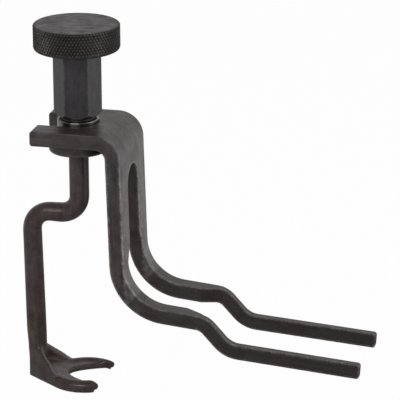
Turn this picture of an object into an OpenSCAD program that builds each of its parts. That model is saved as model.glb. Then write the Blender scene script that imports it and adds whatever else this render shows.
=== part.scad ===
// Valve spring compressor: a forked bracket bent from flat bar carries a captive nut,
// and turning the nut drives a cranked screw whose forked foot presses on the spring retainer.
// Origin on the screw axis at the underside of the foot, +Z up the screw, tines along +X.

/* [Bracket bar] */
// Thickness of the flat bar
bar_t = 6.35; // [5:0.05:8]
// Width of the flat bar
bar_w = 38.1; // [34:0.1:44]
// Height of the tab's top face above the foot's underside, screw fully raised
tab_height = 115; // [105:0.5:130]
// Reach of the tab's open end past the screw axis
tab_reach = 15.4; // [12:0.1:20]
// Straight length of the tab
tab_run = 27.9; // [26:0.1:36]
// Inside radius of the bend under the tab
tab_bend_r = 4; // [2:0.1:8]
// Lean of the leg away from the screw, in degrees
leg_lean = 1.6; // [0:0.1:5]
// Straight length of the leg
leg_run = 45.7; // [38:0.1:55]
// Inside radius of the bend at the heel of the leg
heel_bend_r = 18; // [12:0.5:24]
// Fall of the straight after the heel bend, in degrees
sole_fall = 5.3; // [2:0.1:10]
// Straight length after the heel bend
sole_run = 14.6; // [12:0.1:25]
// Steepest fall of the joggle, in degrees
joggle_fall = 47.4; // [35:0.1:60]
// Inside radius of the bend into the joggle
joggle_bend_r = 4.5; // [3:0.1:8]
// Straight length of the joggle
joggle_run = 7.3; // [3:0.1:15]
// Inside radius of the bend out of the joggle
tine_bend_r = 8.4; // [5:0.1:12]
// Fall of the tines, in degrees
tine_fall = 4.2; // [1:0.1:10]
// Straight length of the tines
tine_run = 51.2; // [30:0.1:70]
// Easing of the bar's free ends, seen from the side
end_r = 1.2; // [0.5:0.1:2.5]

/* [Bracket slots] */
// Width of the open slot that holds the nut's neck
nut_slot_w = 17.6; // [14:0.1:20]
// Distance from the tab's top face down to the top of the leg's slot
leg_slot_drop = 17; // [12:0.5:24]
// Width of the leg's slot at its round top
leg_slot_w = 16; // [12:0.1:20]
// Straight run of that slot below its round top, before it widens
leg_slot_run = 23.6; // [15:0.1:26]
// Height over which that slot widens to the gap at the heel
leg_slot_flare = 7; // [3:0.1:10]
// Gap between the tines at the heel bend
heel_gap = 22.8; // [17:0.1:25]
// Gap between the tines before the joggle
sole_gap = 23.5; // [20:0.1:27]
// Gap between the tines beyond the joggle
tine_gap = 31.7; // [28:0.1:33]
// Length along the bar over which the tines narrow at the joggle
narrow_run = 8; // [4:0.1:12]
// Outward spread of each tine at its tip
tine_spread = 0.5; // [0:0.1:2]

/* [Nut and head] */
// Size of the nut's hexagon across its flats
hex_af = 17.46; // [15:0.01:22]
// Turn of the hexagon about the screw axis, in degrees
hex_turn = 12.5; // [0:0.5:60]
// Height of the hexagon
hex_h = 28.4; // [20:0.1:40]
// Height of the chamfer round the hexagon's lower corners
hex_chamfer = 2; // [0.5:0.1:3]
// Neck showing between the tab and the hexagon
neck_show = 2.6; // [1:0.1:5]
// Height of the groove turned between the neck and the hexagon
relief_h = 0.9; // [0.4:0.1:1.4]
// Easing of the neck's upper edge
neck_ease = 0.4; // [0.2:0.1:0.8]
// Diameter of the press-fitted spigots at the nut's two ends
spigot_d = 14; // [12:0.1:16]
// Diameter of the knurled head
head_d = 36; // [30:0.1:44]
// Thickness of the knurled head
head_t = 10.6; // [8:0.1:16]
// Chamfer round the head's upper rim
head_chamfer = 0.8; // [0.4:0.1:1.5]
// Chamfer round the head's lower rim
head_low_chamfer = 1.4; // [0.4:0.1:2]
// Depth of the spigot's seat in the head
head_seat = 7; // [4:0.1:7.5]
// Diameter of the thrust collar under the tab
collar_d = 24.6; // [21:0.1:28]
// Thickness of the thrust collar
collar_t = 6; // [3:0.1:8]
// Chamfer round the collar's lower rim
collar_chamfer = 0.6; // [0.2:0.1:1.2]

/* [Screw rod] */
// Crest diameter of the screw's thread
thread_d = 9.5; // [8:0.1:11]
// Length of the thread
thread_run = 38; // [30:0.5:44]
// Diameter of the plain shank below the thread
shank_d = 8.4; // [7:0.1:9.2]
// Drop of the cranked run's centre line below the tab's top face
crank_drop = 40.5; // [34:0.1:50]
// Offset of the lower rod from the screw axis, at the crank
crank_offset = 20.9; // [17:0.1:24]
// Centre-line radius of the bend above the crank
crank_top_r = 8; // [5.5:0.1:9]
// Centre-line radius of the bend below the crank
crank_low_r = 8; // [5.5:0.1:9]
// Lean of the lower rod back towards the screw axis, in degrees
rod_lean = 1.1; // [0:0.1:3]
// Diameter of the lower rod at the crank
rod_d = 8.1; // [7:0.1:9.2]
// Diameter of the lower rod where it swells into the foot
rod_foot_d = 8.7; // [7.5:0.1:10]

/* [Forked foot] */
// Outside radius of the fork
fork_r = 15.9; // [14:0.1:20]
// Centre of the fork ahead of the screw axis
fork_ahead = 1.5; // [0:0.1:3]
// Thickness of the fork at its mouth
fork_t = 3.6; // [3:0.1:6]
// Radius about the fork's centre where its upper face starts to rise
palm_r = 10.5; // [8:0.1:11.5]
// Radius of the crest along the prongs
crest_r = 13; // [12:0.1:14]
// Height of that crest
crest_h = 4.8; // [4:0.1:6]
// Height of the prongs' outer edge
rim_h = 3.3; // [2:0.1:3.8]
// Rounding of the prong tips, seen from the side
nose_r = 2; // [1:0.1:2.2]
// Reach of the prongs past the screw axis
fork_reach = 10.7; // [7:0.1:11]
// Depth of the mouth between the prongs
mouth_depth = 16.6; // [13:0.1:19]
// Width of the mouth at the prong tips
mouth_w = 25; // [20:0.1:26]
// Diameter of the recess that sits on the spring retainer, round the fork's centre
seat_d = 28.8; // [26:0.1:29.6]
// Depth of that recess
seat_depth = 1; // [0.5:0.1:1.5]
// Reach of the lip round that recess past the screw axis
lip_reach = 9; // [6:0.1:9.5]
// Height of the prong tips' underside, ahead of that lip
tip_rise = 1.2; // [0.7:0.1:1.5]
// Radius of the heel behind the lower rod
heel_r = 2.2; // [1.5:0.1:4]
// Inset of the heel from the back of the lower rod
heel_inset = 0.4; // [0.2:0.1:1.5]
// Height of the two webs at the rod
web_h = 13.8; // [10:0.1:22]
// Thickness of the two webs
web_t = 2.8; // [2:0.1:4]
// Slope of the webs' upper edges, in degrees
web_fall = 46; // [35:0.5:60]
// Height of the floor between the webs at the rod
valley_h = 7; // [5:0.1:12]
// Slope of that floor, in degrees
valley_fall = 18; // [10:0.5:45]
// Start of those slopes ahead of the rod's centre
crest_ahead = 2.1; // [0:0.1:4]
// Lean of the flats on the rod's sides, which run out above the webs, in degrees
flank_lean = 7; // [4:0.5:10]

/* [Clearances] */
// Play of the nut's neck in its slot, each side
neck_play = 0.15; // [0.1:0.05:0.5]
// Play between the thrust collar and the tab
collar_play = 0.1; // [0.05:0.05:0.3]
// Play of the thread in the nut, on the radius
thread_play = 0.05; // [0.02:0.01:0.1]
// Space left above the raised screw's end
end_play = 1; // [0.5:0.5:3]

/* [Hidden] */
$fn = 96;
// Margin by which cuts run past the faces that they open
past = 1;
// Lap of the rounds that are joined into one solid
lap = 0.3;
// Flats along each bend of the bar, each eased corner, each round of the foot and each side of its crest
bend_parts = 24;
ease_parts = 6;
foot_parts = 30;
crown_parts = 3;
// Thinning of the rod in its bends, and the sweep that laps each bend into the straights beside it
bend_thin = 0.1;
bend_lap = 3;

black_oxide = [0.24, 0.24, 0.25];
dark_steel = [0.2, 0.2, 0.22];
turned_steel = [0.34, 0.34, 0.35];
forged_brown = [0.24, 0.21, 0.2];

// The bar from the tab's open end to the tine tips: straight length, inside radius, turn of the bend after it
bar_steps = [
    [tab_run, tab_bend_r, leg_lean - 90],
    [leg_run, heel_bend_r, 90 - leg_lean - sole_fall],
    [sole_run, joggle_bend_r, sole_fall - joggle_fall],
    [joggle_run, tine_bend_r, joggle_fall - tine_fall],
    [tine_run, 0, 0],
];
last_step = len(bar_steps) - 1;

function unit(a) = [cos(a), sin(a)];
// Centre of a bend that starts at the origin along +X
function bend_centre(step) = [0, sign(step[2]) * (step[1] + bar_t / 2)];
// Point on the bar's middle line at a share of a bend's turn, where a turn of 0 has no bend
function bend_point(step, share) =
    step[2] == 0
    ? [0, 0]
    : bend_centre(step) + (step[1] + bar_t / 2) * unit(share * step[2] - 90 * sign(step[2]));
function turned(p, a) = [p.x * cos(a) - p.y * sin(a), p.x * sin(a) + p.y * cos(a)];
// Start of a step on the bar's middle line as [x, z, heading]
function step_start(i) =
    i == 0 ? [-tab_reach, tab_height - bar_t / 2, 0] : step_on(step_start(i - 1), bar_steps[i - 1], 1);
// Point a share of the way round the bend that ends a step, as [x, z, heading]
function step_on(start, step, share) =
    let (p = turned([step[0], 0] + bend_point(step, share), start[2]))
    [start[0] + p.x, start[1] + p.y, start[2] + share * step[2]];

tab_end = step_start(0);
heel_mid = step_on(step_start(1), bar_steps[1], 0.5);
sole_start = step_start(2);
narrow_x = step_on(sole_start, bar_steps[2], 0.5)[0];
joggle_end = step_start(3);
tine_tip = step_on(step_start(last_step), bar_steps[last_step], 1);

hex_z = tab_height + neck_show;
head_z = hex_z + hex_h;
collar_top_z = tab_height - bar_t - collar_play;
collar_z = collar_top_z - collar_t;
neck_d = nut_slot_w - 2 * neck_play;
bore_d = thread_d + 2 * thread_play;
screw_top_z = head_z + head_seat - end_play - thread_chamfer();
thread_z = screw_top_z - thread_run;
crank_z = tab_height - crank_drop;
crank_x = -crank_offset + crank_low_r;
rod_top_z = crank_z - crank_low_r;
heel_x = -crank_offset + rod_top_z * tan(rod_lean);
fork_angle = asin((fork_r - heel_r) / (fork_ahead + heel_centre()));
fork_touch = 90 + fork_angle;

function thread_chamfer() = (thread_d - shank_d) / 2;
// Distance of the heel's centre behind the screw axis
function heel_centre() = -heel_x + rod_foot_d / 2 - heel_inset - heel_r;

// Bar seen from the side

// One face of the bar round the bend that ends a step, on its upper (1) or lower (-1) side
function bend_edge(i, side) = [
    for (k = [0 : bend_parts])
        let (p = step_on(step_start(i), bar_steps[i], k / bend_parts))
        [p[0], p[1]] + side * bar_t / 2 * unit(p[2] + 90)
];
// Eased corner of a free end from its end face to its side, where out is the way that the end faces
function eased_corner(p, out, side) =
    let (across = side * unit(p[2] + 90))
    [
        for (k = [0 : ease_parts])
            let (a = 90 * k / ease_parts)
            [p[0], p[1]] + (bar_t / 2 - end_r * (1 - sin(a))) * across - end_r * (1 - cos(a)) * unit(out)
    ];
function bar_edge(side) = [
    each eased_corner(tab_end, 180, side),
    for (i = [0 : last_step - 1]) each bend_edge(i, side),
    each reversed(eased_corner(tine_tip, tine_tip[2], side)),
];
function reversed(list) = [for (i = [len(list) - 1 : -1 : 0]) list[i]];

module bar_side() {
    polygon([each bar_edge(1), each reversed(bar_edge(-1))]);
}

// Slots through the bar

module nut_slot() {
    translate([0, 0, tab_height - bar_t - past]) linear_extrude(bar_t + 2 * past) {
        circle(d = nut_slot_w);
        translate([-tab_reach - past, -nut_slot_w / 2]) square([tab_reach + past, nut_slot_w]);
    }
}

module leg_slot() {
    round_z = tab_height - leg_slot_drop - leg_slot_w / 2;
    flare_z = round_z - leg_slot_run;
    heel_z = flare_z - leg_slot_flare;
    rotate([90, 0, 90]) linear_extrude(sole_start[0]) {
        translate([0, round_z]) circle(d = leg_slot_w);
        polygon([
            [-leg_slot_w / 2, round_z], [leg_slot_w / 2, round_z], [leg_slot_w / 2, flare_z],
            [heel_gap / 2, heel_z], [heel_gap / 2, heel_mid[1]],
            [-heel_gap / 2, heel_mid[1]], [-heel_gap / 2, heel_z], [-leg_slot_w / 2, flare_z],
        ]);
    }
}

// Gap between the tines from above: stations along X with the gap's width at each
module tine_slot() {
    stations = [
        [0, heel_gap], [heel_mid[0] + bar_t / 2, heel_gap], [sole_start[0], sole_gap],
        [narrow_x - narrow_run, sole_gap], [narrow_x, tine_gap], [joggle_end[0], tine_gap],
        [tine_tip[0], tine_gap + 2 * tine_spread], [tine_tip[0] + past, tine_gap + 2 * tine_spread],
    ];
    linear_extrude(heel_mid[1]) strip(stations);
}

// The bar from above, where only the tines spread past its width
module bar_plan() {
    strip([
        [-tab_reach - past, bar_w], [joggle_end[0], bar_w],
        [tine_tip[0], bar_w + 2 * tine_spread], [tine_tip[0] + past, bar_w + 2 * tine_spread],
    ]);
}

module strip(stations) {
    polygon([
        for (at = stations) [at[0], -at[1] / 2],
        for (at = reversed(stations)) [at[0], at[1] / 2],
    ]);
}

module frame() {
    color(black_oxide)
        difference() {
            intersection() {
                rotate([90, 0, 0]) linear_extrude(bar_w + 2 * tine_spread, center = true) bar_side();
                linear_extrude(tab_height + past) bar_plan();
            }
            nut_slot();
            leg_slot();
            tine_slot();
        }
}

// Captive nut, its head and its thrust collar

// Hexagon whose lower corners are turned down to a cone that starts inside the neck's eased edge
module hexagon() {
    corner_d = hex_af / cos(30);
    foot_d = neck_d - 2 * neck_ease - lap;
    translate([0, 0, hex_z])
        intersection() {
            rotate(hex_turn) cylinder(h = hex_h, d = corner_d, $fn = 6);
            cylinder(h = hex_h, d1 = foot_d, d2 = foot_d + (corner_d - foot_d) * hex_h / hex_chamfer);
        }
}

module drive_nut() {
    top_z = head_z + head_seat;
    color(dark_steel)
        difference() {
            union() {
                hexagon();
                rotate_extrude()
                    polygon([
                        [0, collar_z], [spigot_d / 2, collar_z], [spigot_d / 2, collar_top_z],
                        [neck_d / 2, collar_top_z], [neck_d / 2, hex_z - relief_h - neck_ease],
                        [neck_d / 2 - neck_ease, hex_z - relief_h], [spigot_d / 2, hex_z - relief_h],
                        [spigot_d / 2, top_z], [0, top_z],
                    ]);
            }
            translate([0, 0, collar_z - past]) cylinder(h = top_z - collar_z + 2 * past, d = bore_d);
        }
}

module knurled_head() {
    color(turned_steel)
        translate([0, 0, head_z])
            rotate_extrude()
                polygon([
                    [spigot_d / 2, 0], [head_d / 2 - head_low_chamfer, 0], [head_d / 2, head_low_chamfer],
                    [head_d / 2, head_t - head_chamfer], [head_d / 2 - head_chamfer, head_t],
                    [0, head_t], [0, head_seat], [spigot_d / 2, head_seat],
                ]);
}

module thrust_collar() {
    color(turned_steel)
        translate([0, 0, collar_z])
            rotate_extrude()
                polygon([
                    [spigot_d / 2, 0], [collar_d / 2 - collar_chamfer, 0], [collar_d / 2, collar_chamfer],
                    [collar_d / 2, collar_t], [spigot_d / 2, collar_t],
                ]);
}

// Cranked screw and its forked foot

module rod_bend(r, d, from, turn) {
    rotate([90, 0, 0])
        rotate(from - bend_lap)
            rotate_extrude(angle = turn + 2 * bend_lap) translate([r, 0]) circle(d = d - bend_thin);
}

module screw_rod() {
    shank_z = crank_z + crank_top_r;
    translate([0, 0, shank_z]) cylinder(h = thread_z - shank_z, d = shank_d);
    translate([0, 0, thread_z]) cylinder(h = thread_run, d = thread_d);
    translate([0, 0, screw_top_z]) cylinder(h = thread_chamfer(), d1 = thread_d, d2 = shank_d);
    translate([-crank_top_r, 0, shank_z]) rod_bend(crank_top_r, shank_d, -90, 90);
    translate([-crank_top_r, 0, crank_z])
        rotate([0, -90, 0]) cylinder(h = -crank_top_r - crank_x, d1 = shank_d, d2 = rod_d);
    translate([crank_x, 0, rod_top_z]) rod_bend(crank_low_r, rod_d, 90, 90 + rod_lean);
}

// The leaning lower rod, with flats on its sides that lean out of the webs and end above them
module lower_rod() {
    run = rod_top_z / cos(rod_lean) + past;
    apex_x = -heel_centre() - heel_r / sin(fork_angle) + lap;
    difference() {
        translate([crank_x, 0, rod_top_z])
            rotate([0, -rod_lean, 0])
                translate([-crank_low_r, 0, -run]) cylinder(h = run, d1 = rod_foot_d, d2 = rod_d);
        for (side = [0, 1])
            mirror([0, side, 0])
                translate([apex_x, 0, web_h])
                    rotate([-flank_lean, 0, fork_angle])
                        translate([-past, 0, -2 * web_h]) cube([2 * crank_offset, crank_offset, 4 * web_h]);
        translate([-2 * crank_offset, -crank_offset, -2 * past])
            cube([2 * crank_offset, 2 * crank_offset, 2 * past + lap]);
    }
}

// Round front of the foot from above, between the points where its straight sides touch it
function fork_arc(r) = [
    for (k = [0 : foot_parts]) [fork_ahead, 0] + r * unit((2 * k / foot_parts - 1) * fork_touch)
];

// Outline of the foot from above
module fork_plan() {
    polygon([
        for (k = [0 : foot_parts])
            [-heel_centre(), 0] + heel_r * unit(fork_touch + (360 - 2 * fork_touch) * k / foot_parts),
        each fork_arc(fork_r),
    ]);
}

// Space between the webs from above, whose straight walls meet inside the rod
module valley_plan() {
    meet = -heel_centre() + (web_t - heel_r) / sin(fork_angle);
    polygon([[meet, 0], each fork_arc(fork_r - web_t)]);
}

// The mouth between the prongs, a parabola that opens forward
module mouth_plan() {
    half = mouth_w / 2;
    apex = fork_reach - mouth_depth;
    curve = [
        for (i = [-foot_parts : foot_parts])
            let (share = i / foot_parts)
            [apex + mouth_depth * pow(share, 2), half * share]
    ];
    polygon([each curve, [fork_r + fork_ahead + past, half], [fork_r + fork_ahead + past, -half]]);
    translate([fork_reach, -fork_r]) square([fork_r, 2 * fork_r]);
}

// Side view of a slope that falls forward from the rod to the fork's upper face
module slope_side(height, fall) {
    crest = heel_x + crest_ahead;
    polygon([
        [-heel_centre() - heel_r, 0], [-heel_centre() - heel_r, height], [crest, height],
        [crest + height / tan(fall), 0],
    ]);
}

module slope_block(height, fall) {
    rotate([90, 0, 0]) linear_extrude(2 * fork_r + 2 * past, center = true) slope_side(height, fall);
}

// Height of the prongs outside and inside their crest, at a radius about the fork's centre
function outer_h(r) = crest_h - (crest_h - rim_h) * pow((r - crest_r) / (fork_r - crest_r), 2);
function inner_h(r) = fork_t + (crest_h - fork_t) * (1 - cos(180 * (r - palm_r) / (crest_r - palm_r))) / 2;

// The fork's body, level in the palm, with a crest along its prongs
module crowned_plate() {
    outer_run = fork_r + past - crest_r;
    inner_run = crest_r - palm_r;
    intersection() {
        linear_extrude(crest_h + past) fork_plan();
        translate([fork_ahead, 0, 0])
            rotate_extrude()
                polygon([
                    [0, 0], [fork_r + past, 0],
                    for (k = [crown_parts : -1 : 1])
                        let (r = crest_r + outer_run * k / crown_parts) [r, outer_h(r)],
                    for (k = [crown_parts : -1 : 0])
                        let (r = palm_r + inner_run * k / crown_parts) [r, inner_h(r)],
                    [0, fork_t],
                ]);
    }
}

// What rounds the prong tips over, seen from the side
module nose_cut() {
    rotate([90, 0, 0])
        linear_extrude(2 * fork_r + 2 * past, center = true)
            difference() {
                translate([fork_reach - nose_r, -past]) square([2 * nose_r, crest_h + 2 * past]);
                translate([fork_reach - nose_r, tip_rise + nose_r - lap]) circle(r = nose_r);
            }
}

module forked_foot() {
    difference() {
        union() {
            crowned_plate();
            intersection() {
                slope_block(web_h, web_fall);
                linear_extrude(web_h) difference() {
                    fork_plan();
                    valley_plan();
                }
            }
            intersection() {
                slope_block(valley_h, valley_fall);
                linear_extrude(valley_h) fork_plan();
            }
        }
        translate([0, 0, -past]) linear_extrude(web_h + 2 * past) mouth_plan();
        translate([fork_ahead, 0, -past]) cylinder(h = past + seat_depth, d = seat_d);
        translate([lip_reach, -fork_r - past, -past]) cube([fork_r, 2 * (fork_r + past), past + tip_rise]);
        nose_cut();
    }
}

module fork_screw() {
    color(forged_brown) {
        screw_rod();
        lower_rod();
        forked_foot();
    }
}

frame();
drive_nut();
knurled_head();
thrust_collar();
fork_screw();
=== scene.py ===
import math
import bmesh
import bpy
import numpy as np
from mathutils import Matrix, Vector, kdtree


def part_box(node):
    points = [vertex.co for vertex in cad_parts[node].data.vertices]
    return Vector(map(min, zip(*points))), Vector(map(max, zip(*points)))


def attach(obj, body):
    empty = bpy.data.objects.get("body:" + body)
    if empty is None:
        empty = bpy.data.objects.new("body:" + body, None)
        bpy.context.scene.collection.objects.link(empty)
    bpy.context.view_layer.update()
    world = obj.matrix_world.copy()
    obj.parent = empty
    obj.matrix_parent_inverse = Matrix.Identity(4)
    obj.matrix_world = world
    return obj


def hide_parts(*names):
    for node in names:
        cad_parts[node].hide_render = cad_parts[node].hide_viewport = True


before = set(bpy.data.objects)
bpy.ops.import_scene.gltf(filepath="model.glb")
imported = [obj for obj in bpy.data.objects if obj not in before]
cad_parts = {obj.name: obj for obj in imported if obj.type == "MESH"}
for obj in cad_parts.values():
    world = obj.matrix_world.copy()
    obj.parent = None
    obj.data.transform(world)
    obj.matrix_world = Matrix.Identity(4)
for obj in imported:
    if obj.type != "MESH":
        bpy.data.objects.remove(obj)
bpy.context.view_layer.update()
scene = bpy.context.scene
print("frame loaded:", sorted(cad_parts))

mm = 0.001


# a CAD node's mesh as one closed skin, flat faces whole
def cadSkin(node):
    bm = bmesh.new()
    bm.from_mesh(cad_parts[node].data)
    bmesh.ops.remove_doubles(bm, verts=bm.verts, dist=0.002 * mm)
    bmesh.ops.dissolve_limit(bm, angle_limit=math.radians(0.4), verts=bm.verts, edges=bm.edges)
    return bm


# halves edges in a skin of triangles, and cuts each triangle by which of its sides are halved
def halveEdges(bm, edges, cornerMark):
    middles = {}
    for edge in edges:
        middles[edge] = bm.verts.new((edge.verts[0].co + edge.verts[1].co) / 2)
    oldFaces = list({f for e in edges for f in e.link_faces})
    for face in oldFaces:
        ring = [(loop.vert, middles.get(loop.edge)) for loop in face.loops]
        halved = sum(1 for vert, middle in ring if middle is not None)
        while ring[0][1] is None or (halved == 2 and ring[2][1] is not None):
            ring = ring[1:] + ring[:1]
        (a, ab), (b, bc), (c, ca) = ring
        if halved == 1:
            cut = [(a, ab, c), (ab, b, c)]
        elif halved == 3:
            cut = [(a, ab, ca), (ab, b, bc), (ca, bc, c), (ab, bc, ca)]
        elif (a.co - bc.co).length < (ab.co - c.co).length:
            cut = [(ab, b, bc), (a, ab, bc), (a, bc, c)]
        else:
            cut = [(ab, b, bc), (a, ab, c), (ab, bc, c)]
        for points in cut:
            bm.faces.new(points)[cornerMark] = face[cornerMark]
    bmesh.ops.delete(bm, geom=oldFaces, context="FACES")


# rounds the corners, cuts the skin into small triangles and marks how near each point is to a corner
def roundedSkin(node, look, name):
    bm = cadSkin(node)
    cornerMark = bm.faces.layers.int.new("corner")
    corners = [e for e in bm.edges if e.is_manifold and e.calc_face_angle() > math.radians(28)]
    made = bmesh.ops.bevel(bm, geom=corners, offset=look["edgeRound"], offset_type="OFFSET",
                           segments=look["edgeSteps"], profile=0.5, affect="EDGES", clamp_overlap=False)
    for face in made["faces"]:
        face[cornerMark] = 1
    bmesh.ops.triangulate(bm, faces=bm.faces)
    for turn in range(8):
        longEdges = [e for e in bm.edges if e.calc_length() > look["meshSize"]]
        if not longEdges:
            break
        halveEdges(bm, longEdges, cornerMark)
    for turn in range(3):  # finer beside the corners, so the rubbing ends in a clean line
        atCorner = {v for f in bm.faces if f[cornerMark] for v in f.verts}
        inward = [e for e in bm.edges if (e.verts[0] in atCorner or e.verts[1] in atCorner)
                  and not any(f[cornerMark] for f in e.link_faces)]
        halveEdges(bm, [e for e in inward if e.calc_length() > 2 * look["rubWidth"]], cornerMark)
    bm.normal_update()
    bm.verts.index_update()
    normals = []
    cornerPoints = []
    for vert in bm.verts:
        flats = [f for f in vert.link_faces if not f[cornerMark]]
        around = flats if flats else vert.link_faces
        total = Vector((0, 0, 0))
        for face in around:
            total += face.normal * max(face.calc_area(), 1e-12)
        normals.append(total.normalized())
        if len(flats) < len(vert.link_faces):
            cornerPoints.append(vert.co.copy())
    tree = kdtree.KDTree(len(cornerPoints))
    for number, point in enumerate(cornerPoints):
        tree.insert(point, number)
    tree.balance()
    near = [tree.find(vert.co)[2] for vert in bm.verts]
    mesh = bpy.data.meshes.new(name)
    bm.to_mesh(mesh)
    bm.free()
    for face in mesh.polygons:
        face.use_smooth = True
    mesh.normals_split_custom_set_from_vertices(normals)
    mark = mesh.attributes.new("cornerRub", "FLOAT", "POINT")
    mark.data.foreach_set("value", np.exp(-(np.array(near) / look["rubWidth"]) ** 2).astype(np.float32))
    obj = bpy.data.objects.new(name, mesh)
    scene.collection.objects.link(obj)
    print(name, "triangles:", len(mesh.polygons))
    return obj


# a closed turned skin from (radius, height) pairs, first and last on the axis;
# from the first row of a weave to its second, each square is cut along the knurl's grooves
def turnedSkin(name, profile, columns, weave=None):
    bm = bmesh.new()
    rings = []
    for radius, height in profile:
        if radius < 1e-7:
            rings.append([bm.verts.new((0, 0, height))])
            continue
        ring = []
        for step in range(columns):
            angle = 2 * math.pi * step / columns
            ring.append(bm.verts.new((radius * math.cos(angle), radius * math.sin(angle), height)))
        rings.append(ring)
    for row, (low, high) in enumerate(zip(rings, rings[1:])):
        for step in range(columns):
            after = (step + 1) % columns
            if len(low) == 1:
                bm.faces.new((low[0], high[step], high[after]))
            elif len(high) == 1:
                bm.faces.new((low[step], high[0], low[after]))
            elif weave and weave[0] <= row < weave[1]:
                half = weave[2]
                if (step // half + (row - weave[0]) // half) % 2 == 0:
                    bm.faces.new((low[step], high[step], high[after]))
                    bm.faces.new((low[step], high[after], low[after]))
                else:
                    bm.faces.new((low[step], high[step], low[after]))
                    bm.faces.new((high[step], high[after], low[after]))
            else:
                bm.faces.new((low[step], high[step], high[after], low[after]))
    bmesh.ops.recalc_face_normals(bm, faces=bm.faces)
    mesh = bpy.data.meshes.new(name)
    bm.to_mesh(mesh)
    bm.free()
    obj = bpy.data.objects.new(name, mesh)
    scene.collection.objects.link(obj)
    return obj


# evens a dense skin out, more where the weight is higher
def softenSkin(mesh, rounds, weight):
    count = len(mesh.vertices)
    points = np.zeros(count * 3, np.float64)
    mesh.vertices.foreach_get("co", points)
    points = points.reshape(-1, 3)
    pairs = np.zeros(len(mesh.edges) * 2, np.int64)
    mesh.edges.foreach_get("vertices", pairs)
    one, two = pairs[0::2], pairs[1::2]
    degree = np.bincount(one, minlength=count) + np.bincount(two, minlength=count)
    strength = weight(points)[:, None]
    for turn in range(rounds):
        total = np.zeros_like(points)
        for axis in range(3):
            total[:, axis] = np.bincount(one, points[two, axis], count)
            total[:, axis] += np.bincount(two, points[one, axis], count)
        points += strength * (total / degree[:, None] - points)
    mesh.vertices.foreach_set("co", points.astype(np.float32).ravel())
    mesh.update()


# marks the outward corners of a dense skin
def markCorners(mesh, size):
    count = len(mesh.vertices)
    points = np.zeros(count * 3, np.float64)
    normals = np.zeros(count * 3, np.float64)
    mesh.vertices.foreach_get("co", points)
    mesh.vertices.foreach_get("normal", normals)
    points = points.reshape(-1, 3)
    normals = normals.reshape(-1, 3)
    pairs = np.zeros(len(mesh.edges) * 2, np.int64)
    mesh.edges.foreach_get("vertices", pairs)
    one, two = pairs[0::2], pairs[1::2]
    degree = np.bincount(one, minlength=count) + np.bincount(two, minlength=count)
    total = np.zeros_like(points)
    for axis in range(3):
        total[:, axis] = np.bincount(one, points[two, axis], count)
        total[:, axis] += np.bincount(two, points[one, axis], count)
    swell = -np.einsum("ij,ij->i", total / degree[:, None] - points, normals) / size
    for turn in range(3):
        spreadOut = np.bincount(one, swell[two], count) + np.bincount(two, swell[one], count)
        swell = 0.5 * swell + 0.5 * spreadOut / degree
    mark = mesh.attributes.new("cornerRub", "FLOAT", "POINT")
    mark.data.foreach_set("value", np.clip((swell - 0.06) / 0.14, 0, 1).astype(np.float32))


# small helpers for node trees
def addNode(tree, kind, **settings):
    node = tree.nodes.new(kind)
    for key, value in settings.items():
        setattr(node, key, value)
    return node


def addMath(tree, operation, first, second=None):
    node = addNode(tree, "ShaderNodeMath", operation=operation)
    for place, value in enumerate((first, second)):
        if value is None:
            continue
        if isinstance(value, (int, float)):
            node.inputs[place].default_value = value
        else:
            tree.links.new(value, node.inputs[place])
    return node.outputs[0]


# runs a node tree on a piece and leaves a plain mesh
def bakeTree(obj, tree, values):
    modifier = obj.modifiers.new("build", "NODES")
    modifier.node_group = tree
    for item in tree.interface.items_tree:
        if item.item_type == "SOCKET" and item.in_out == "INPUT" and item.name in values:
            modifier[item.identifier] = values[item.name]
    bpy.context.view_layer.update()
    ready = obj.evaluated_get(bpy.context.evaluated_depsgraph_get())
    mesh = bpy.data.meshes.new_from_object(ready)
    obj.modifiers.remove(modifier)
    obj.data = mesh


def newTree(name, sizes):
    tree = bpy.data.node_groups.new(name, "GeometryNodeTree")
    tree.interface.new_socket("Geometry", in_out="INPUT", socket_type="NodeSocketGeometry")
    tree.interface.new_socket("Geometry", in_out="OUTPUT", socket_type="NodeSocketGeometry")
    for size in sizes:
        tree.interface.new_socket(size, in_out="INPUT", socket_type="NodeSocketFloat")
    tree.interface.new_socket("Finish", in_out="INPUT", socket_type="NodeSocketMaterial")
    start = addNode(tree, "NodeGroupInput")
    end = addNode(tree, "NodeGroupOutput")
    return tree, start, end


# radius and angle of each point round the screw's axis
def polarPlace(tree):
    place = addNode(tree, "GeometryNodeInputPosition")
    split = addNode(tree, "ShaderNodeSeparateXYZ")
    tree.links.new(place.outputs[0], split.inputs[0])
    east, north, height = split.outputs
    eastSquare = addMath(tree, "MULTIPLY", east, east)
    northSquare = addMath(tree, "MULTIPLY", north, north)
    distance = addMath(tree, "SQRT", addMath(tree, "ADD", eastSquare, northSquare))
    radius = addMath(tree, "MAXIMUM", distance, 1e-6)
    turns = addMath(tree, "DIVIDE", addMath(tree, "ARCTAN2", north, east), 2 * math.pi)
    return east, north, height, radius, turns


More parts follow.
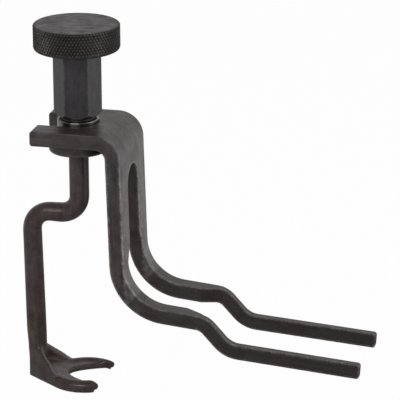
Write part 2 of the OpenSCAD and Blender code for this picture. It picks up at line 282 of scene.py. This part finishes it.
# moves each point to a new radius, then closes the tree
def setRadius(tree, start, end, east, north, radius, newRadius, rub):
    grow = addMath(tree, "SUBTRACT", addMath(tree, "DIVIDE", newRadius, radius), 1.0)
    shift = addNode(tree, "ShaderNodeCombineXYZ")
    tree.links.new(addMath(tree, "MULTIPLY", east, grow), shift.inputs[0])
    tree.links.new(addMath(tree, "MULTIPLY", north, grow), shift.inputs[1])
    move = addNode(tree, "GeometryNodeSetPosition")
    mark = addNode(tree, "GeometryNodeStoreNamedAttribute", data_type="FLOAT", domain="POINT")
    mark.inputs["Name"].default_value = "cornerRub"
    tree.links.new(rub, mark.inputs["Value"])
    tree.links.new(start.outputs["Geometry"], mark.inputs["Geometry"])
    tree.links.new(mark.outputs[0], move.inputs["Geometry"])
    tree.links.new(shift.outputs[0], move.inputs["Offset"])
    real = addNode(tree, "GeometryNodeRealizeInstances")
    tree.links.new(move.outputs[0], real.inputs[0])
    paint = addNode(tree, "GeometryNodeSetMaterial")
    tree.links.new(real.outputs[0], paint.inputs["Geometry"])
    tree.links.new(start.outputs["Finish"], paint.inputs["Material"])
    tree.links.new(paint.outputs[0], end.inputs["Geometry"])


# two crossing rows of grooves pressed into a rim
def knurlTree():
    sizes = ["Ridges Around", "Ridge Rise", "Depth", "Rim Radius", "Band Foot"]
    tree, start, end = newTree("knurlRows", sizes)
    east, north, height, radius, turns = polarPlace(tree)
    across = addMath(tree, "MULTIPLY", turns, start.outputs["Ridges Around"])
    above = addMath(tree, "SUBTRACT", height, start.outputs["Band Foot"])
    up = addMath(tree, "DIVIDE", above, start.outputs["Ridge Rise"])
    rightRow = addMath(tree, "PINGPONG", addMath(tree, "ADD", across, up), 0.5)
    leftRow = addMath(tree, "PINGPONG", addMath(tree, "SUBTRACT", across, up), 0.5)
    crest = addMath(tree, "MINIMUM", addMath(tree, "MINIMUM", rightRow, leftRow), 0.42)
    sunk = addMath(tree, "SUBTRACT", 1.0, addMath(tree, "DIVIDE", crest, 0.42))
    rim = addMath(tree, "SUBTRACT", start.outputs["Rim Radius"],
                  addMath(tree, "MULTIPLY", start.outputs["Depth"], sunk))
    inside = addMath(tree, "SUBTRACT", start.outputs["Rim Radius"], 0.2 * mm)
    onRim = addMath(tree, "GREATER_THAN", radius, inside)
    tip = addMath(tree, "POWER", addMath(tree, "SUBTRACT", 1.0, sunk), 3.0)
    setRadius(tree, start, end, east, north, radius, addMath(tree, "MINIMUM", radius, rim),
              addMath(tree, "MULTIPLY", onRim, tip))
    return tree


# one right-hand groove wound up the screw, fading out at the shank
def threadTree():
    tree, start, end = newTree("screwThread", ["Pitch", "Depth", "Crest Radius", "Foot", "Run Out"])
    east, north, height, radius, turns = polarPlace(tree)
    wind = addMath(tree, "SUBTRACT", addMath(tree, "DIVIDE", height, start.outputs["Pitch"]), turns)
    slope = addMath(tree, "MULTIPLY", addMath(tree, "PINGPONG", wind, 0.5), 2.0)
    flank = addMath(tree, "DIVIDE", addMath(tree, "SUBTRACT", slope, 0.13), 0.67)
    groove = addMath(tree, "MINIMUM", addMath(tree, "MAXIMUM", flank, 0.0), 1.0)
    above = addMath(tree, "SUBTRACT", height, start.outputs["Foot"])
    fade = addMath(tree, "DIVIDE", above, start.outputs["Run Out"])
    fade = addMath(tree, "MINIMUM", addMath(tree, "MAXIMUM", fade, 0.0), 1.0)
    sunk = addMath(tree, "MULTIPLY", addMath(tree, "MULTIPLY", groove, fade), start.outputs["Depth"])
    rim = addMath(tree, "SUBTRACT", start.outputs["Crest Radius"], sunk)
    setRadius(tree, start, end, east, north, radius, addMath(tree, "MINIMUM", radius, rim),
              addMath(tree, "SUBTRACT", 1.0, groove))
    return tree


# cloudy noise of one size, drawn out along an axis, on the object or along an attribute
def noiseField(tree, size, detail, stretch=(1, 1, 1), follows=None):
    mapping = addNode(tree, "ShaderNodeMapping")
    mapping.inputs["Scale"].default_value = stretch
    if follows:
        place = addNode(tree, "ShaderNodeAttribute", attribute_name=follows)
        tree.links.new(place.outputs["Vector"], mapping.inputs["Vector"])
    else:
        coords = addNode(tree, "ShaderNodeTexCoord")
        tree.links.new(coords.outputs["Object"], mapping.inputs["Vector"])
    noise = addNode(tree, "ShaderNodeTexNoise")
    noise.inputs["Scale"].default_value = 1.0 / size
    noise.inputs["Detail"].default_value = detail
    noise.inputs["Roughness"].default_value = 0.6
    tree.links.new(mapping.outputs[0], noise.inputs["Vector"])
    return noise.outputs[0]


# maps low..high to outLow..outHigh and holds it there
def spread(tree, value, low, high, outLow, outHigh):
    node = addNode(tree, "ShaderNodeMapRange")
    node.clamp = True
    for place, number in enumerate((low, high, outLow, outHigh)):
        node.inputs[place + 1].default_value = number
    tree.links.new(value, node.inputs[0])
    return node.outputs[0]


def mixColour(tree, amount, first, second):
    node = addNode(tree, "ShaderNodeMix", data_type="RGBA")
    tree.links.new(amount, node.inputs[0])
    for place, colour in ((6, first), (7, second)):
        if isinstance(colour, tuple):
            node.inputs[place].default_value = (*colour, 1.0)
        else:
            tree.links.new(colour, node.inputs[place])
    return node.outputs[2]


# dark oxide skin: patch, grain and line are the sizes of its mottling, rough and gloss run from
# its dark tone to its light one, and rub is the least and the most that shows on a corner
def oxideFinish(name, look):
    material = bpy.data.materials.new(name)
    material.use_nodes = True
    tree = material.node_tree
    shader = tree.nodes["Principled BSDF"]
    patches = noiseField(tree, look["patch"], 4)
    specks = noiseField(tree, look["grain"], 2)
    lines = noiseField(tree, look["line"], 3, look["drawn"], look.get("follows"))
    tone = addMath(tree, "MULTIPLY", patches, 0.4)
    tone = addMath(tree, "ADD", tone, addMath(tree, "MULTIPLY", lines, 0.35))
    tone = addMath(tree, "ADD", tone, addMath(tree, "MULTIPLY", specks, 0.25))
    tone = spread(tree, tone, 0.38, 0.62, 0.0, 1.0)
    if "tineShade" in look:
        place = addNode(tree, "ShaderNodeAttribute", attribute_name="barPlace")
        split = addNode(tree, "ShaderNodeSeparateXYZ")
        tree.links.new(place.outputs["Vector"], split.inputs[0])
        begin, finished, share = look["tineShade"]
        tone = addMath(tree, "MULTIPLY", tone, spread(tree, split.outputs[0], begin, finished, 1.0, share))
    # painted shade: towards the knurled rim the tone is darkened, and colour, gloss and roughness follow
    # it
    if "paintedRimShade" in look:
        begin, finished, share = look["paintedRimShade"]
        distance, height = axisDistance(tree)
        tone = addMath(tree, "MULTIPLY", tone, spread(tree, distance, begin, finished, 1.0, share))
    colour = mixColour(tree, tone, look["dark"], look["light"])
    mark = addNode(tree, "ShaderNodeAttribute", attribute_name="cornerRub")
    broken = spread(tree, noiseField(tree, look["rubSize"], 5), 0.35, 0.65, *look["rub"])
    rub = addMath(tree, "MULTIPLY", mark.outputs["Fac"], broken)
    colour = mixColour(tree, rub, colour, look["rubbed"])
    rough = spread(tree, tone, 0.0, 1.0, *look["rough"])
    gloss = spread(tree, tone, 0.0, 1.0, *look["gloss"])
    if "bare" in look:
        steel = addNode(tree, "ShaderNodeAttribute", attribute_name="bareSteel")
        colour = mixColour(tree, steel.outputs["Fac"], colour, look["bare"])
        tree.links.new(steel.outputs["Fac"], shader.inputs["Metallic"])
        polish = addMath(tree, "SUBTRACT", 1.0, addMath(tree, "MULTIPLY", steel.outputs["Fac"], 0.68))
        rough = addMath(tree, "MULTIPLY", rough, polish)
    tree.links.new(colour, shader.inputs["Base Color"])
    tree.links.new(rough, shader.inputs["Roughness"])
    shader.inputs["IOR"].default_value = 1.5
    shader.inputs["Specular Tint"].default_value = (*look["sheen"], 1.0)
    tree.links.new(gloss, shader.inputs["Specular IOR Level"])
    height = addMath(tree, "ADD", specks, addMath(tree, "MULTIPLY", patches, 1.5))
    if "rings" in look:
        rings = addMath(tree, "MULTIPLY", ringField(tree, look["rings"]), 1.2)
        height = addMath(tree, "ADD", height, rings)
    bump = addNode(tree, "ShaderNodeBump")
    bump.inputs["Strength"].default_value = 0.6
    bump.inputs["Distance"].default_value = look["bump"]
    tree.links.new(height, bump.inputs["Height"])
    tree.links.new(bump.outputs[0], shader.inputs["Normal"])
    return material


# distance from the screw's axis, and height
def axisDistance(tree):
    coords = addNode(tree, "ShaderNodeTexCoord")
    split = addNode(tree, "ShaderNodeSeparateXYZ")
    tree.links.new(coords.outputs["Object"], split.inputs[0])
    east, north, height = split.outputs
    eastSquare = addMath(tree, "MULTIPLY", east, east)
    northSquare = addMath(tree, "MULTIPLY", north, north)
    return addMath(tree, "SQRT", addMath(tree, "ADD", eastSquare, northSquare)), height


# fine turning marks round the screw's axis
def ringField(tree, size):
    distance, height = axisDistance(tree)
    join = addNode(tree, "ShaderNodeCombineXYZ")
    tree.links.new(distance, join.inputs[0])
    tree.links.new(height, join.inputs[1])
    noise = addNode(tree, "ShaderNodeTexNoise")
    noise.inputs["Scale"].default_value = 1.0 / size
    noise.inputs["Detail"].default_value = 2
    tree.links.new(join.outputs[0], noise.inputs["Vector"])
    return noise.outputs[0]


# bent flat bar, blackened, edges rubbed bright
bracketLook = {
    "edgeRound": 0.38 * mm,
    "edgeSteps": 3,
    "meshSize": 2.5 * mm,
    "rubWidth": 0.35 * mm,
    # millimetres along the bar, and how much rubbing shows there on its edges and on its outer face; on
    # the outer face the lightening is partly worn patches and partly painted light for the brighter light
    # that face catches
    "rubAlong": ((30, 0.06), (52, 0.9), (95, 0.9), (120, 0.35)),
    "faceWearAndLight": ((48, 0.0), (62, 0.32), (86, 0.5), (98, 0.3), (108, 0.0)),
    # corners of the bar's middle line, seen from the side, for the drawing marks
    "barLine": ((-15.4, 111.8), (19.5, 111.8), (21.5, 39.5), (56.0, 36.3), (67.0, 26.5), (123.5, 22.3)),
    # the finish darkens between these lengths along the bar, to this share
    "tineShade": (85 * mm, 150 * mm, 0.45),
    "dark": (0.018, 0.0135, 0.0128),
    "light": (0.048, 0.039, 0.0365),
    "rubbed": (0.34, 0.325, 0.31),
    "sheen": (1.0, 0.95, 0.935),
    "patch": 7 * mm,
    "grain": 0.6 * mm,
    "line": 1.4 * mm,
    "drawn": (0.08, 1, 1),
    "follows": "barPlace",
    "rough": (0.44, 0.33),
    "gloss": (0.38, 0.62),
    "rubSize": 2.2 * mm,
    "rub": (0.25, 1.0),
    "bump": 0.07 * mm,
}

bracketBlack = oxideFinish("bracketBlack", bracketLook)
bracketBar = roundedSkin("frame", bracketLook, "bracketBar")
bracketBar.data.materials.append(bracketBlack)

# each point's place along, across and through the bent bar
barPlace = bracketBar.data.attributes.new("barPlace", "FLOAT_VECTOR", "POINT")
corners = [Vector((x * mm, z * mm)) for x, z in bracketLook["barLine"]]
for vert, mark in zip(bracketBar.data.vertices, barPlace.data):
    spot = Vector((vert.co.x, vert.co.z))
    best = None
    run = 0.0
    for start, end in zip(corners, corners[1:]):
        way = end - start
        share = min(max((spot - start).dot(way) / way.length_squared, 0), 1)
        off = spot - (start + way * share)
        if best is None or off.length < best[0]:
            best = (off.length, run + share * way.length, off.dot(Vector((-way.y, way.x)).normalized()))
        run += way.length
    mark.vector = (best[1], vert.co.y, best[2])
for place, mark in zip(barPlace.data, bracketBar.data.attributes["cornerRub"].data):
    along, across, off = place.vector
    mark.value *= np.interp(along / mm, *zip(*bracketLook["rubAlong"]))
    # outer face: worn patches, and partly painted light that lightens the face turned towards the light
    if off > 2.9 * mm:
        mark.value = max(mark.value, np.interp(along / mm, *zip(*bracketLook["faceWearAndLight"])))

# hexagon nut, black, with a bright running neck
nutLook = {
    "edgeRound": 0.25 * mm,
    "edgeSteps": 2,
    "meshSize": 2.5 * mm,
    "rubWidth": 0.3 * mm,
    "neckTop": 117.4 * mm,
    "neckInside": 7.1 * mm,
    "dark": (0.006, 0.0055, 0.0063),
    "light": (0.018, 0.0163, 0.0182),
    "rubbed": (0.09, 0.087, 0.088),
    "sheen": (1.0, 0.955, 0.99),
    "bare": (0.17, 0.155, 0.145),
    "patch": 6 * mm,
    "grain": 0.5 * mm,
    "line": 1.2 * mm,
    "drawn": (1, 1, 0.15),
    "rough": (0.32, 0.44),
    "gloss": (0.40, 0.72),
    "rubSize": 2 * mm,
    "rub": (0.1, 0.6),
    "bump": 0.03 * mm,
}

nutBlack = oxideFinish("nutBlack", nutLook)
driveNut = roundedSkin("drive_nut", nutLook, "driveNut")
driveNut.data.materials.append(nutBlack)
bareMark = driveNut.data.attributes.new("bareSteel", "FLOAT", "POINT")
for vert, mark in zip(driveNut.data.vertices, bareMark.data):
    outside = math.hypot(vert.co.x, vert.co.y) > nutLook["neckInside"]
    mark.value = 1.0 if outside and vert.co.z < nutLook["neckTop"] else 0.0

# ring under the tab
collarLook = {
    "edgeRound": 0.35 * mm,
    "edgeSteps": 2,
    "meshSize": 1.2 * mm,
    "rubWidth": 0.4 * mm,
    "dark": (0.022, 0.0185, 0.0172),
    "light": (0.044, 0.038, 0.0355),
    "rubbed": (0.12, 0.11, 0.10),
    "sheen": (1.0, 0.95, 0.935),
    "patch": 6 * mm,
    "grain": 0.5 * mm,
    "line": 1.5 * mm,
    "drawn": (1, 1, 1),
    "rough": (0.36, 0.48),
    "gloss": (0.4, 0.6),
    "rubSize": 4 * mm,
    "rub": (0.0, 0.6),
    "rings": 0.4 * mm,
    "bump": 0.02 * mm,
}

collarBrown = oxideFinish("collarBrown", collarLook)
thrustCollar = roundedSkin("thrust_collar", collarLook, "thrustCollar")
thrustCollar.data.materials.append(collarBrown)

# knurled disc
headLook = {
    "ridgesAround": 80,
    "ridgeRise": 2.42 * mm,
    "ridgeDepth": 0.5 * mm,
    "ridgeParts": 8,
    "bandRows": 28,
    "lowRound": 1.4 * mm,
    "topRings": 12,
    "seatRadius": 7.0 * mm,
    "seatDepth": 7.0 * mm,
    # painted shade on the knurled rim, standing in for the darker reflections there
    "paintedRimShade": (16.2 * mm, 17.0 * mm, 0.55),  # the finish darkens between these radii, to this share
    "dark": (0.012, 0.0100, 0.0096),
    "light": (0.040, 0.0340, 0.0325),
    "rubbed": (0.08, 0.076, 0.073),
    "sheen": (1.0, 0.95, 0.935),
    "patch": 5 * mm,
    "grain": 0.5 * mm,
    "line": 2 * mm,
    "drawn": (0.25, 1, 1),
    "rough": (0.50, 0.34),
    "gloss": (0.26, 0.70),
    "rubSize": 3 * mm,
    "rub": (0.35, 0.9),
    "rings": 0.5 * mm,
    "bump": 0.04 * mm,
}

headBlack = oxideFinish("headBlack", headLook)
headLow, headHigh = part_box("knurled_head")
headRadius = headHigh.x
topZ = headHigh.z
footZ = headLow.z
rowHeight = headLook["ridgeRise"] / headLook["ridgeParts"]
lowRound = headLook["lowRound"]
ease = topZ - footZ - lowRound - headLook["bandRows"] * rowHeight
seat = footZ + headLook["seatDepth"]
headProfile = [(0, seat), (headLook["seatRadius"], seat), (headLook["seatRadius"], footZ)]
headProfile.append((headRadius - lowRound, footZ))
for step in range(1, 5):
    angle = math.pi / 2 * step / 5
    inward = lowRound * (1 - math.sin(angle))
    headProfile.append((headRadius - inward, footZ + lowRound * (1 - math.cos(angle))))
weaveFoot = len(headProfile)
for row in range(headLook["bandRows"] + 1):
    headProfile.append((headRadius, footZ + lowRound + row * rowHeight))
weaveTop = len(headProfile) - 1
for step in range(1, 5):
    angle = math.pi / 2 * step / 5
    inward = ease * (1 - math.cos(angle))
    headProfile.append((headRadius - inward, topZ - ease * (1 - math.sin(angle))))
for ring in range(headLook["topRings"], 0, -1):
    headProfile.append(((headRadius - ease) * ring / headLook["topRings"], topZ))
headProfile.append((0, topZ))
knurledHead = turnedSkin("knurledHead", headProfile, headLook["ridgesAround"] * headLook["ridgeParts"],
                         (weaveFoot, weaveTop, headLook["ridgeParts"] // 2))
bakeTree(knurledHead, knurlTree(), {
    "Ridges Around": float(headLook["ridgesAround"]),
    "Ridge Rise": headLook["ridgeRise"],
    "Depth": headLook["ridgeDepth"],
    "Rim Radius": headRadius,
    "Band Foot": footZ + lowRound,
    "Finish": headBlack,
})
print("knurledHead faces:", len(knurledHead.data.polygons))

# forged screw: rod, crank, forked foot
screwLook = {
    "threadPitch": 1.5875 * mm,
    "threadDepth": 0.92 * mm,
    "threadRadius": 4.75 * mm,
    "threadTop": 152.0 * mm,
    "threadFoot": 113.45 * mm,
    "runOut": 2.4 * mm,
    "endTaper": 1.0 * mm,
    "threadColumns": 64,
    "threadRows": 12,
    "skinSize": 0.33 * mm,
    "skinRounds": 5,
    "rodRounds": 14,
    "blendRounds": 60,  # where the rod swells into the foot
    "crownRounds": 14,  # on the prongs and the valley
    "dark": (0.027, 0.0160, 0.0136),
    "light": (0.056, 0.0385, 0.0345),
    "rubbed": (0.14, 0.122, 0.112),
    "sheen": (1.0, 0.95, 0.94),
    "patch": 5 * mm,
    "grain": 0.6 * mm,
    "line": 1.6 * mm,
    "drawn": (1, 1, 0.2),
    "rough": (0.38, 0.32),
    "gloss": (0.38, 0.62),
    "rubSize": 3 * mm,
    "rub": (0.0, 0.35),
    "bump": 0.05 * mm,
}

screwBrown = oxideFinish("screwBrown", screwLook)

# the forging's skin, cut off below the thread
bm = cadSkin("fork_screw")
bmesh.ops.bisect_plane(bm, geom=bm.verts[:] + bm.edges[:] + bm.faces[:], dist=1e-7, clear_outer=True,
                       plane_co=(0, 0, screwLook["threadFoot"] - 0.5 * mm), plane_no=(0, 0, 1))
bmesh.ops.holes_fill(bm, edges=[e for e in bm.edges if e.is_boundary], sides=0)
bmesh.ops.triangulate(bm, faces=bm.faces)
mesh = bpy.data.meshes.new("forkScrew")
bm.to_mesh(mesh)
bm.free()
forkScrew = bpy.data.objects.new("forkScrew", mesh)
scene.collection.objects.link(forkScrew)
skin = forkScrew.modifiers.new("skin", "REMESH")
skin.mode = "VOXEL"
skin.voxel_size = screwLook["skinSize"]
bpy.context.view_layer.update()
forged = bpy.data.meshes.new_from_object(forkScrew.evaluated_get(bpy.context.evaluated_depsgraph_get()))
forkScrew.modifiers.clear()
forkScrew.data = forged
forged.materials.clear()
forged.materials.append(screwBrown)


# where the forging is evened out, and how much
def everywhere(points):
    return np.full(len(points), 0.5)


def rodAndCrank(points):
    return 0.5 * np.clip((points[:, 2] - 18 * mm) / (4 * mm), 0, 1)


def rodIntoFoot(points):
    high = np.exp(-((points[:, 2] - 15 * mm) / (4.5 * mm)) ** 2)
    behind = np.clip((-9 * mm - points[:, 0]) / (3 * mm), 0, 1)
    return 0.5 * high * behind


def prongsAndValley(points):
    aboveSole = np.clip((points[:, 2] - 1.4 * mm) / (1.2 * mm), 0, 1)
    belowRod = np.clip((14 * mm - points[:, 2]) / (3 * mm), 0, 1)
    return 0.5 * aboveSole * belowRod


softenSkin(forged, screwLook["skinRounds"], everywhere)
softenSkin(forged, screwLook["rodRounds"], rodAndCrank)
softenSkin(forged, screwLook["blendRounds"], rodIntoFoot)
softenSkin(forged, screwLook["crownRounds"], prongsAndValley)
markCorners(forged, screwLook["skinSize"])
print("forkScrew faces:", len(forged.polygons))

# the threaded end
threadRadius = screwLook["threadRadius"]
rootRadius = threadRadius - screwLook["threadDepth"]
threadProfile = [(0, screwLook["threadFoot"] - 2 * mm), (4.15 * mm, screwLook["threadFoot"] - 2 * mm)]
rowHeight = screwLook["threadPitch"] / screwLook["threadRows"]
bottom = screwLook["threadFoot"] - 0.6 * mm
rowCount = int((screwLook["threadTop"] - bottom) / rowHeight)
for row in range(rowCount + 1):
    height = bottom + (screwLook["threadTop"] - bottom) * row / rowCount
    fromTop = screwLook["threadTop"] - height
    fromFoot = height - bottom
    radius = threadRadius
    if fromTop < screwLook["endTaper"]:
        radius = rootRadius + (threadRadius - rootRadius) * fromTop / screwLook["endTaper"]
    if fromFoot < 0.6 * mm:
        radius = 4.15 * mm + (threadRadius - 4.15 * mm) * fromFoot / (0.6 * mm)
    threadProfile.append((radius, height))
threadProfile.append((0, screwLook["threadTop"]))
screwTop = turnedSkin("screwTop", threadProfile, screwLook["threadColumns"])
bakeTree(screwTop, threadTree(), {
    "Pitch": screwLook["threadPitch"],
    "Depth": screwLook["threadDepth"],
    "Crest Radius": threadRadius,
    "Foot": screwLook["threadFoot"],
    "Run Out": screwLook["runOut"],
    "Finish": screwBrown,
})
print("screwTop faces:", len(screwTop.data.polygons))
bm = bmesh.new()
bm.from_mesh(forkScrew.data)
bm.from_mesh(screwTop.data)
bm.to_mesh(forkScrew.data)
bm.free()
bpy.data.objects.remove(screwTop)

for piece in (knurledHead, forkScrew):
    for face in piece.data.polygons:
        face.use_smooth = True
knurledHead.data.set_sharp_from_angle(angle=math.radians(30))

# each piece rides its body and stands for its CAD node
for piece, node, body, finish in (
    (bracketBar, "frame", "bracket", "bracket_steel"),
    (driveNut, "drive_nut", "nut", "nut_steel"),
    (knurledHead, "knurled_head", "nut", "head_steel"),
    (thrustCollar, "thrust_collar", "nut", "nut_steel"),
    (forkScrew, "fork_screw", "screw", "forged_steel"),
):
    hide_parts(node)
    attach(piece, body)
print("pieces placed")

# floor: white, keeps a soft shadow
floorMesh = bpy.data.meshes.new("studioFloor")
side = 4.0
floorZ = -0.04
corners = [(-side, -side), (side, -side), (side, side), (-side, side)]
floorMesh.from_pydata([(x, y, floorZ) for x, y in corners], [], [(0, 1, 2, 3)])
studioFloor = bpy.data.objects.new("studioFloor", floorMesh)
scene.collection.objects.link(studioFloor)
floorWhite = bpy.data.materials.new("floorWhite")
floorWhite.use_nodes = True
tree = floorWhite.node_tree
tree.nodes.remove(tree.nodes["Principled BSDF"])
matt = addNode(tree, "ShaderNodeBsdfDiffuse")
matt.inputs["Color"].default_value = (0.82, 0.82, 0.82, 1)
glow = addNode(tree, "ShaderNodeEmission")
ray = addNode(tree, "ShaderNodeLightPath")
coords = addNode(tree, "ShaderNodeTexCoord")
split = addNode(tree, "ShaderNodeSeparateXYZ")
tree.links.new(coords.outputs["Object"], split.inputs[0])
away = addNode(tree, "ShaderNodeVectorMath", operation="LENGTH")
tree.links.new(coords.outputs["Object"], away.inputs[0])
# painted shadow: in reflections the floor is dimmed near the object, more so under the tines, standing in
# for the object's own shadow and occlusion
near = spread(tree, split.outputs[0], -0.02, 0.10, 0.42, 0.10)
far = addMath(tree, "SUBTRACT", 0.85, near)
mirrored = addMath(tree, "MULTIPLY", far, spread(tree, away.outputs["Value"], 0.2, 0.5, 0.0, 1.0))
mirrored = addMath(tree, "ADD", mirrored, near)
mirrored = addMath(tree, "MULTIPLY", mirrored, spread(tree, split.outputs[0], -0.4, 0.0, 0.75, 1.0))
tree.links.new(addMath(tree, "MAXIMUM", ray.outputs["Is Camera Ray"], mirrored), glow.inputs["Strength"])
seen = addMath(tree, "MULTIPLY", ray.outputs["Is Camera Ray"], 0.97)
seen = addMath(tree, "MAXIMUM", seen, ray.outputs["Is Glossy Ray"])
blend = addNode(tree, "ShaderNodeMixShader")
tree.links.new(seen, blend.inputs[0])
tree.links.new(matt.outputs[0], blend.inputs[1])
tree.links.new(glow.outputs[0], blend.inputs[2])
tree.links.new(blend.outputs[0], tree.nodes["Material Output"].inputs["Surface"])
floorMesh.materials.append(floorWhite)

# world: white to the eye, softer towards the front and overhead
world = bpy.data.worlds.new("studioWorld")
world.use_nodes = True
scene.world = world
tree = world.node_tree
back = tree.nodes["Background"]
back.inputs["Color"].default_value = (1, 1, 1, 1)
coords = addNode(tree, "ShaderNodeTexCoord")
split = addNode(tree, "ShaderNodeSeparateXYZ")
tree.links.new(coords.outputs["Generated"], split.inputs[0])
shade = spread(tree, split.outputs[1], -0.9, 0.3, 0.1, 0.79)
shade = addMath(tree, "MULTIPLY", shade, spread(tree, split.outputs[0], -0.7, 0.1, 0.7, 1.0))
shade = addMath(tree, "MULTIPLY", shade, spread(tree, split.outputs[2], 0.78, 0.95, 1.0, 0.3))
ray = addNode(tree, "ShaderNodeLightPath")
tree.links.new(addMath(tree, "MAXIMUM", shade, ray.outputs["Is Camera Ray"]), back.inputs["Strength"])


def softBox(name, place, aim, size, power):
    lamp = bpy.data.lights.new(name, "AREA")
    lamp.shape = "RECTANGLE"
    lamp.size = size[0]
    lamp.size_y = size[1]
    lamp.energy = power
    obj = bpy.data.objects.new(name, lamp)
    scene.collection.objects.link(obj)
    look = Vector(aim) - Vector(place)
    obj.matrix_world = Matrix.Translation(place) @ look.to_track_quat("-Z", "Y").to_matrix().to_4x4()


softBox("topBox", (0.10, -0.10, 1.0), (0.03, 0, 0.08), (1.0, 0.9), 0.6)
softBox("frontBox", (-0.10, -1.60, 1.05), (0.03, 0, 0.08), (1.4, 0.8), 17.0)
softBox("rightBox", (1.1, 0.1, 0.45), (0.03, 0, 0.08), (0.6, 0.7), 1.5)

# camera at the photo's angle
lens = bpy.data.cameras.new("photoCamera")
lens.sensor_width = 36
lens.lens = 254.46
lens.clip_start = 0.05
lens.clip_end = 20
photoCamera = bpy.data.objects.new("photoCamera", lens)
scene.collection.objects.link(photoCamera)
aside = Matrix.Rotation(math.radians(14.049), 4, "Z")
downward = Matrix.Rotation(math.radians(90 - 18.554), 4, "X")
tilted = Matrix.Rotation(math.radians(-0.252), 4, "Z")
photoCamera.matrix_world = Matrix.Translation((0.32059, -1.074, 0.45604)) @ aside @ downward @ tilted
scene.camera = photoCamera
scene.view_settings.view_transform = "Standard"
print("camera and lights set")
